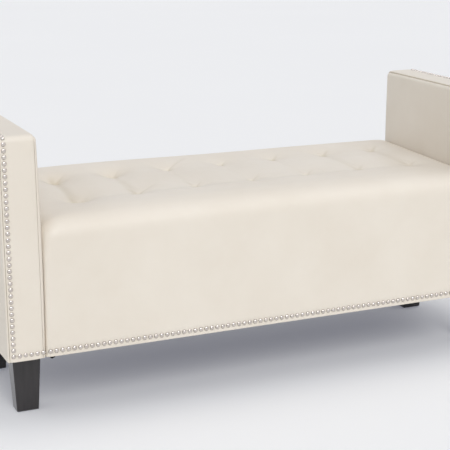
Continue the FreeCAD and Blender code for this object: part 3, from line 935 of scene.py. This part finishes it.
def make_rear_panel():
    """The panel below the seat's rear seam."""
    seam_z = REAR_HIGH.z - 2 * SEAM_GAP
    corners = [(REAR - SEAM_DEPTH, seam_z), (REAR, seam_z), (REAR, BOTTOM), (REAR - HEM_WIDTH, BOTTOM)]
    path = Path(corners, [0, BACK_LIP, HEM_RADIUS, 0])
    marks = [(path.nearest(REAR, corner_z), *PANEL_FINE) for corner_z in (BOTTOM, REAR_HIGH.z)]
    where, out = path.at(graded(0, path.length, PANEL_ROW_STEP, marks))
    arc = np.linspace(0, math.pi / 2, PANEL_ARC_STEPS + 1)[1:]
    end = seat_end(where)
    side_x = np.hstack([end - PANEL_ROLL + PANEL_ROLL * np.sin(arc), end])
    side_in = np.concatenate([PANEL_ROLL * (1 - np.cos(arc)), [PANEL_TUCK]])
    across = graded(-1, 1, PANEL_COLUMN_STEP / SEAT_END, [(side, *PANEL_END_FINE) for side in (-1, 1)])
    x = np.hstack([-side_x[:, ::-1], (end - PANEL_ROLL) * across, side_x])
    inset = np.concatenate([side_in[::-1], 0 * across, side_in])[None, :]
    share = share_of(where[:, 1:], BOTTOM, REAR_HIGH.z - BOTTOM)
    puff = PANEL_PUFF * np.sin(math.pi * share) ** 0.8 * (1 - (x / end) ** 8)
    y = where[:, :1] - out[:, :1] * (inset - puff)
    z = where[:, 1:] - out[:, 1:] * np.minimum(inset, PANEL_ROLL)
    turned = np.abs(out[:-1, 1:]) > TURNED_UNDER
    in_wall = (inset > PANEL_ROLL)[:, :-1] | (inset > PANEL_ROLL)[:, 1:]
    skin = Skin()
    skin.weave(skin.add(np.stack([x, y, z], -1)), ~(turned & in_wall))
    piece = new_piece("seat_back_panel", skin.points, skin.quads, LEATHER)
    subdivide(piece)
    upholster(piece, ["seat_rear_cover", "seat_rear_padding"])


# Arms

def arm_face_x(y, z):
    """The crowned inner face of the right arm."""
    return INNER_LOW.x + (y ** 2 + (z - ARM_MIDDLE_Z) ** 2) / (2 * ARM_BALL)


def arm_roll_inset(y, z, x):
    """How far the roll between an arm's inner face and its edge lies inside that edge."""
    roll = np.interp(z, (SEAT_TOP, ARM_TOP), (ARM_ROLL_LOW, ARM_ROLL_HIGH))
    short = np.clip(arm_face_x(y, z) + roll - x, 0, roll)
    return roll - np.sqrt(roll ** 2 - short ** 2)


def face_lines(inset):
    """Rows and columns of an arm's side face, close together near its corners."""
    half = REAR - inset
    columns = graded(-half, half, ARM_STEP, [(-half, *ARM_FINE), (half, *ARM_FINE)])
    top = ARM_TOP - inset
    rows = graded(BOTTOM, top, ARM_STEP, [(top, *ARM_FINE), (BOTTOM, *TURN_FINE)])
    return columns, rows


def arm_rim(y, z, inset):
    """Place on an arm's rounded edge for points of its face's border, and the direction out there."""
    edge_y = y * REAR / (REAR - inset)
    edge_z = BOTTOM + (z - BOTTOM) * (ARM_TOP - BOTTOM) / (ARM_TOP - inset - BOTTOM)
    hub_y = np.clip(edge_y, -REAR + ARM_NOSE, REAR - ARM_NOSE)
    hub_z = np.minimum(edge_z, ARM_TOP - ARM_NOSE)
    out = np.stack([edge_y - hub_y, edge_z - hub_z], -1)
    out = out / np.linalg.norm(out, axis=-1)[..., None]
    return np.stack([hub_y, hub_z], -1) + ARM_NOSE * out, out


def draw_arm_side(face_x, rings, rail_passes):
    """A side of the right arm: its face, then rings (inset, x) that roll over the edge into a seam."""
    inset = RAIL_LOW.y - FRONT
    columns, rows = face_lines(inset)
    y, z = np.meshgrid(columns, rows)
    skin = Skin()
    numbers = skin.add(np.stack([face_x(y, z), y, z], -1))
    over_rail = (z[:-1, :-1] < RAIL_HIGH.z) & (np.abs(y[:-1, :-1] + y[1:, 1:]) / 2 < -RAIL_LOW.y)
    skin.weave(numbers, ~(over_rail & rail_passes))
    border = np.concatenate([numbers[:-1, 0], numbers[-1, :-1], numbers[::-1, -1]])
    rim, out = arm_rim(skin.points[border, 1], skin.points[border, 2], inset)
    loops = [border]
    for ring_inset, ring_x in rings(rim):
        place = rim - out * np.reshape(ring_inset, (-1, 1))
        loops.append(skin.add(np.column_stack([ring_x + 0 * place[:, 0], place])))
    skin.weave(np.array(loops))
    return skin


def inner_rings(rim):
    """Rings over the inner edge, which sinks on the arm's top so that the band stands proud."""
    seam = INNER_HIGH.x - SEAM_GAP
    face = arm_face_x(rim[:, 0], rim[:, 1])
    step = ARM_SEAM_STEP * (1 - share_of(ARM_TOP - rim[:, 1], 0, ARM_STEP_RISE))
    rings = []
    for share in np.linspace(INNER_RING_START, 1, INNER_RINGS):
        x = face + (seam - face) * share
        sink = step * np.clip((x - seam + ARM_STEP_REACH) / ARM_STEP_REACH, 0, 1) ** 1.5
        rings.append((arm_roll_inset(rim[:, 0], rim[:, 1], x) + sink, x))
    low = rings[-1][0]
    rings.append((low + SEAM_LIP, seam))
    rings.append((low + SEAM_DEPTH, seam))
    return rings


def outer_rings(rim):
    """Rings over the outer edge down into the seam beside the band."""
    seam = OUTER_LOW.x + SEAM_GAP
    rings = []
    for angle in np.linspace(0, math.pi / 2, OUTER_RINGS)[:-1]:
        inset = ARM_OUTER_ROLL * (1 - math.sin(angle))
        rings.append((inset, OUTER_HIGH.x - (ARM_OUTER_ROLL - SEAM_GAP) * (1 - math.cos(angle))))
    return rings + [(inset, seam + beside) for inset, beside in OUTER_SEAM]


def outer_face_x(y, z):
    """The outer face of the right arm, drawn tight over its board."""
    share_y = np.clip(np.abs(y) / REAR, 0, 1)
    share_z = np.clip(np.abs(z - ARM_MIDDLE_Z) / (ARM_TOP - ARM_MIDDLE_Z), 0, 1)
    return OUTER_HIGH.x + OUTER_PUFF * (1 - share_y ** 4) * (1 - share_z ** 4)


def draw_band():
    """The strip up the right arm's front, over its top and down its back."""
    corners = [(FRONT + HEM_WIDTH, BOTTOM), (FRONT, BOTTOM), (FRONT, ARM_TOP), (REAR, ARM_TOP),
               (REAR, BOTTOM), (REAR - HEM_WIDTH, BOTTOM)]
    path = Path(corners, [0, HEM_RADIUS, ARM_NOSE, ARM_NOSE, HEM_RADIUS, 0])
    marks = [(path.nearest(y, BOTTOM), *SEAM_FINE) for y in (FRONT, REAR)]
    marks += [(path.nearest(y, ARM_TOP), *TURN_FINE) for y in (FRONT, REAR)]
    where, out = path.at(graded(0, path.length, BAND_STEP, marks))
    low, high = BAND_LOW.x + SEAM_GAP, BAND_HIGH.x - SEAM_GAP
    inside = np.arange(low + SEAM_LIP, high - SEAM_LIP, BAND_STEP * BAND_ACROSS)
    tucks = np.array([(0, SEAM_DEPTH), (0, SEAM_LIP), BAND_TURN])
    x = np.concatenate([low + tucks[:, 0], inside, high - tucks[::-1, 0]])
    tuck = np.concatenate([tucks[:, 1], 0 * inside, tucks[::-1, 1]])
    share = np.clip((x - low) / (high - low), 0, 1)
    puff = BAND_PUFF * (1 - (2 * share - 1) ** 4)
    roll = arm_roll_inset(where[:, :1], where[:, 1:], x[None, :])
    inset = roll + (tuck - puff)[None, :]
    place = where[:, None, :] - out[:, None, :] * inset[:, :, None]
    skin = Skin()
    skin.weave(skin.add(np.dstack([np.broadcast_to(x, inset.shape), place])))
    return skin


def make_arm(side, sign):
    """One arm's three covers. They are drawn for the right and mirrored for the left."""
    inner = draw_arm_side(arm_face_x, inner_rings, rail_passes=True)
    outer = draw_arm_side(outer_face_x, outer_rings, rail_passes=False)
    covers = [
        ("inner_pad", inner, ["arm_inner_cover", "arm_inner_foam"], 0.85),
        ("band", draw_band(), ["arm_band_cover", "arm_band_padding"], 0.9),
        ("outer_panel", outer, ["arm_outer_cover"], 0.95),
    ]
    for name, skin, nodes, fill in covers:
        piece = new_piece(side + "_arm_" + name, skin.points * (sign, 1, 1), skin.quads, LEATHER)
        subdivide(piece)
        shade_mask = 0
        if name == "band":
            press_nails(piece, NAILS[side + "_arm_nailheads"])
            # Painted shade on the band where it turns sideways into its seams
            shade_mask = normals_of(piece)[:, 0] ** 2
        upholster(piece, [side + "_" + node for node in nodes], shade_mask)


# Dust cover

def frame_over(x, y):
    """Whether the frame's underside lies over a place of the dust cover."""
    over = np.zeros(np.shape(x), bool)
    for node in DUST_HOLDERS:
        low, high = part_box(node)
        over |= (x > low.x) & (x < high.x) & (y > low.y) & (y < high.y)
    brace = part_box("base_cross_braces")[1].x
    return over | (np.abs(np.abs(x) - brace + RAIL_THICKNESS / 2) < RAIL_THICKNESS / 2)


def tube(path, radius, around):
    """Points of a round wire along a path, ring by ring."""
    path = np.array(path)
    along = np.gradient(path, axis=0)
    along /= np.linalg.norm(along, axis=1)[:, None]
    side = np.cross(along, along[0] + WIRE_ASIDE)
    side /= np.linalg.norm(side, axis=1)[:, None]
    rise = np.cross(along, side)
    turn = np.linspace(0, 2 * math.pi, around + 1)[None, :, None]
    return path[:, None] + radius * (np.cos(turn) * side[:, None] + np.sin(turn) * rise[:, None])


def make_staples():
    """Wire staples round the edge of the dust cover."""
    half_x = DUST_HIGH.x - STAPLE_EDGE
    half_y = DUST_HIGH.y - STAPLE_EDGE
    places = []
    for sign in (-1, 1):
        for x in np.linspace(-half_x, half_x, round(2 * half_x / STAPLE_PITCH) + 1):
            if sign > 0 or abs(x - LOOSE_X) > STAPLE_PITCH / 2:
                places.append((x, sign * half_y, 0))
        for y in np.linspace(-half_y, half_y, round(2 * half_y / STAPLE_PITCH) + 1)[1:-1]:
            places.append((sign * half_x, y, math.pi / 2))
    skin = Skin()
    low = DUST_HIGH.z - 2 * DUST_CLOTH - STAPLE_WIRE
    for x, y, heading in places:
        turn = heading + chance.gauss(0, STAPLE_TURN)
        path = []
        for share, lift in STAPLE_FORM:
            reach = share * STAPLE_WIDTH / 2
            path.append((x + reach * math.cos(turn), y + reach * math.sin(turn), low + lift))
        skin.weave(skin.add(tube(path, STAPLE_WIRE / 2, STAPLE_SIDES)))
    piece = new_piece("dust_cover_staples", skin.points, skin.quads, MATERIALS["zinc_steel"])
    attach(piece, "root")
    return piece


def make_dust_cover():
    """Black cloth stapled under the frame, hemmed at its edge and sagging a little between the rails."""
    sides = []
    for half in (DUST_HIGH.x, DUST_HIGH.y):
        middle = graded(-half, half, DUST_STEP, [])
        sides.append(np.concatenate([[DUST_HEM - half], middle, [half - DUST_HEM]]))
    x, y = np.meshgrid(*sides)
    hem = np.zeros_like(x)
    hem[[0, -1]] = 1
    hem[:, [0, -1]] = 1
    z = DUST_HIGH.z - DUST_CLOTH / 2 - DUST_CLOTH * hem
    pins = (frame_over(x, y) | (hem > 0)).astype(float)
    skin = Skin()
    numbers = skin.add(np.stack([x, y, z], -1))
    bolted = np.zeros(np.shape(x), bool)
    for corner in LEGS:
        low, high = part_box(corner + "_leg")
        bolted |= np.hypot(x - (low.x + high.x) / 2, y - (low.y + high.y) / 2) < BOLT_HOLE
    skin.weave(numbers, ~(bolted[:-1, :-1] & bolted[1:, 1:]))
    pins = skin.trim(pins.ravel())
    piece = new_piece("dust_cover_cloth", skin.points, skin.quads, MATERIALS["black_cambric"])
    links = Links(piece.data)
    sag = np.zeros(len(pins))
    for step in range(DUST_ROUNDS):
        sag = (links.mean(sag) + 1) * (1 - pins)
    points = points_of(piece)
    points[:, 2] -= DUST_SAG * sag / sag.max()
    put_points(piece, points)
    subdivide(piece)
    points = points_of(piece)
    near = np.clip(1 - (points[:, 1] - DUST_LOW.y) / LOOSE_REACH, 0, 1)
    points[:, 2] -= LOOSE_DROP * near ** 2 * np.exp(-((points[:, 0] - LOOSE_X) / LOOSE_WIDTH) ** 2)
    put_points(piece, points)
    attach(piece, "root")
    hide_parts("dust_cover")
    make_staples()


# Camera, light and floor

def make_camera():
    """The camera that took the photograph."""
    yaw, pitch, roll = CAMERA_YAW, CAMERA_PITCH, CAMERA_ROLL
    reach = math.cos(pitch)
    forward = Vector((math.sin(yaw) * reach, math.cos(yaw) * reach, -math.sin(pitch)))
    level = Vector((math.cos(yaw), -math.sin(yaw), 0))
    upright = level.cross(forward)
    right = math.cos(roll) * level + math.sin(roll) * upright
    up = math.cos(roll) * upright - math.sin(roll) * level
    data = bpy.data.cameras.new("camera")
    data.sensor_width = CAMERA_SENSOR
    data.lens = CAMERA_LENS
    camera = bpy.data.objects.new("camera", data)
    turn = Matrix((right, up, -forward)).transposed()
    camera.matrix_world = Matrix.Translation(CAMERA_PLACE) @ turn.to_4x4()
    bpy.context.scene.collection.objects.link(camera)
    bpy.context.scene.camera = camera


def make_sun(name, azimuth, elevation, level, softness):
    """A soft lamp far away. Azimuth 0 is in front of the bench and 90 to its right."""
    data = bpy.data.lights.new(name, "SUN")
    data.energy = level * math.pi
    data.angle = math.radians(softness)
    lamp = bpy.data.objects.new(name, data)
    a, e = math.radians(azimuth), math.radians(elevation)
    towards = Vector((math.sin(a) * math.cos(e), -math.cos(a) * math.cos(e), math.sin(e)))
    lamp.rotation_mode = "QUATERNION"
    lamp.rotation_quaternion = towards.to_track_quat("Z", "Y")
    bpy.context.scene.collection.objects.link(lamp)


def seen_directly(tree):
    """1 for what the camera sees, also in metal or through glass, and 0 for light on its way."""
    rays = tree.nodes.new("ShaderNodeLightPath")
    direct = rays.outputs["Is Camera Ray"]
    for kind in ("Is Glossy Ray", "Is Transmission Ray"):
        either = tree.nodes.new("ShaderNodeMath")
        either.operation = "MAXIMUM"
        feed(tree, either, {0: direct, 1: rays.outputs[kind]})
        direct = either.outputs["Value"]
    return direct


def show_either(tree, share, first, second, output):
    """Give an output a mix of two shaders."""
    mix = tree.nodes.new("ShaderNodeMixShader")
    feed(tree, mix, {"Fac": share, 1: first, 2: second})
    tree.links.new(mix.outputs["Shader"], tree.nodes[output].inputs["Surface"])


def make_floor():
    """A wide pale floor that keeps the bench's shadow."""
    material, tree, shader = new_material("studio_floor")
    mottle = noise_of(tree, place_of(tree), scale=0.8, detail=2)
    tone = ramp_of(tree, mottle, [(0.3, (0.902, 0.902, 0.886)), (0.7, (0.910, 0.910, 0.894))])
    feed(tree, shader, {"Base Color": tone, "Roughness": 0.8, "Specular IOR Level": 0.1})
    glow = tree.nodes.new("ShaderNodeEmission")
    glow.inputs["Color"].default_value = FLOOR_GLOW_COLOUR
    share = spread_of(tree, seen_directly(tree), 0, FLOOR_GLOW)
    show_either(tree, share, shader.outputs["BSDF"], glow.outputs["Emission"], "Material Output")
    mesh = bpy.data.meshes.new("floor")
    corners = [(FLOOR_HALF * x, FLOOR_HALF * y, 0) for x, y in ((-1, -1), (1, -1), (1, 1), (-1, 1))]
    mesh.from_pydata(corners, [], [(0, 1, 2, 3)])
    mesh.materials.append(material)
    floor = bpy.data.objects.new("floor", mesh)
    bpy.context.scene.collection.objects.link(floor)


def make_world():
    """A pale studio surround: its light changes from the horizon to the zenith, its look is even."""
    world = bpy.data.worlds.new("studio")
    world.use_nodes = True
    tree = world.node_tree
    source = tree.nodes.new("ShaderNodeTexCoord")
    split = tree.nodes.new("ShaderNodeSeparateXYZ")
    tree.links.new(source.outputs["Generated"], split.inputs["Vector"])
    lit = tree.nodes["Background"]
    strength = spread_of(tree, split.outputs["Z"], *SURROUND)
    feed(tree, lit, {"Color": SURROUND_LIGHT, "Strength": strength})
    seen = tree.nodes.new("ShaderNodeBackground")
    seen.inputs["Color"].default_value = SURROUND_SEEN
    sources = [shader.outputs["Background"] for shader in (lit, seen)]
    show_either(tree, seen_directly(tree), *sources, "World Output")
    bpy.context.scene.world = world


make_camera()
for lamp_values in LAMPS:
    make_sun(*lamp_values)
make_world()
make_floor()
dress_nodes()
make_seat()
make_rear_panel()
make_arm("right", 1)
make_arm("left", -1)
make_dust_cover()
for trim in TRIMS:
    make_nails(trim + "_nails", trim + "_nailheads")
bpy.context.scene.view_settings.view_transform = "Standard"
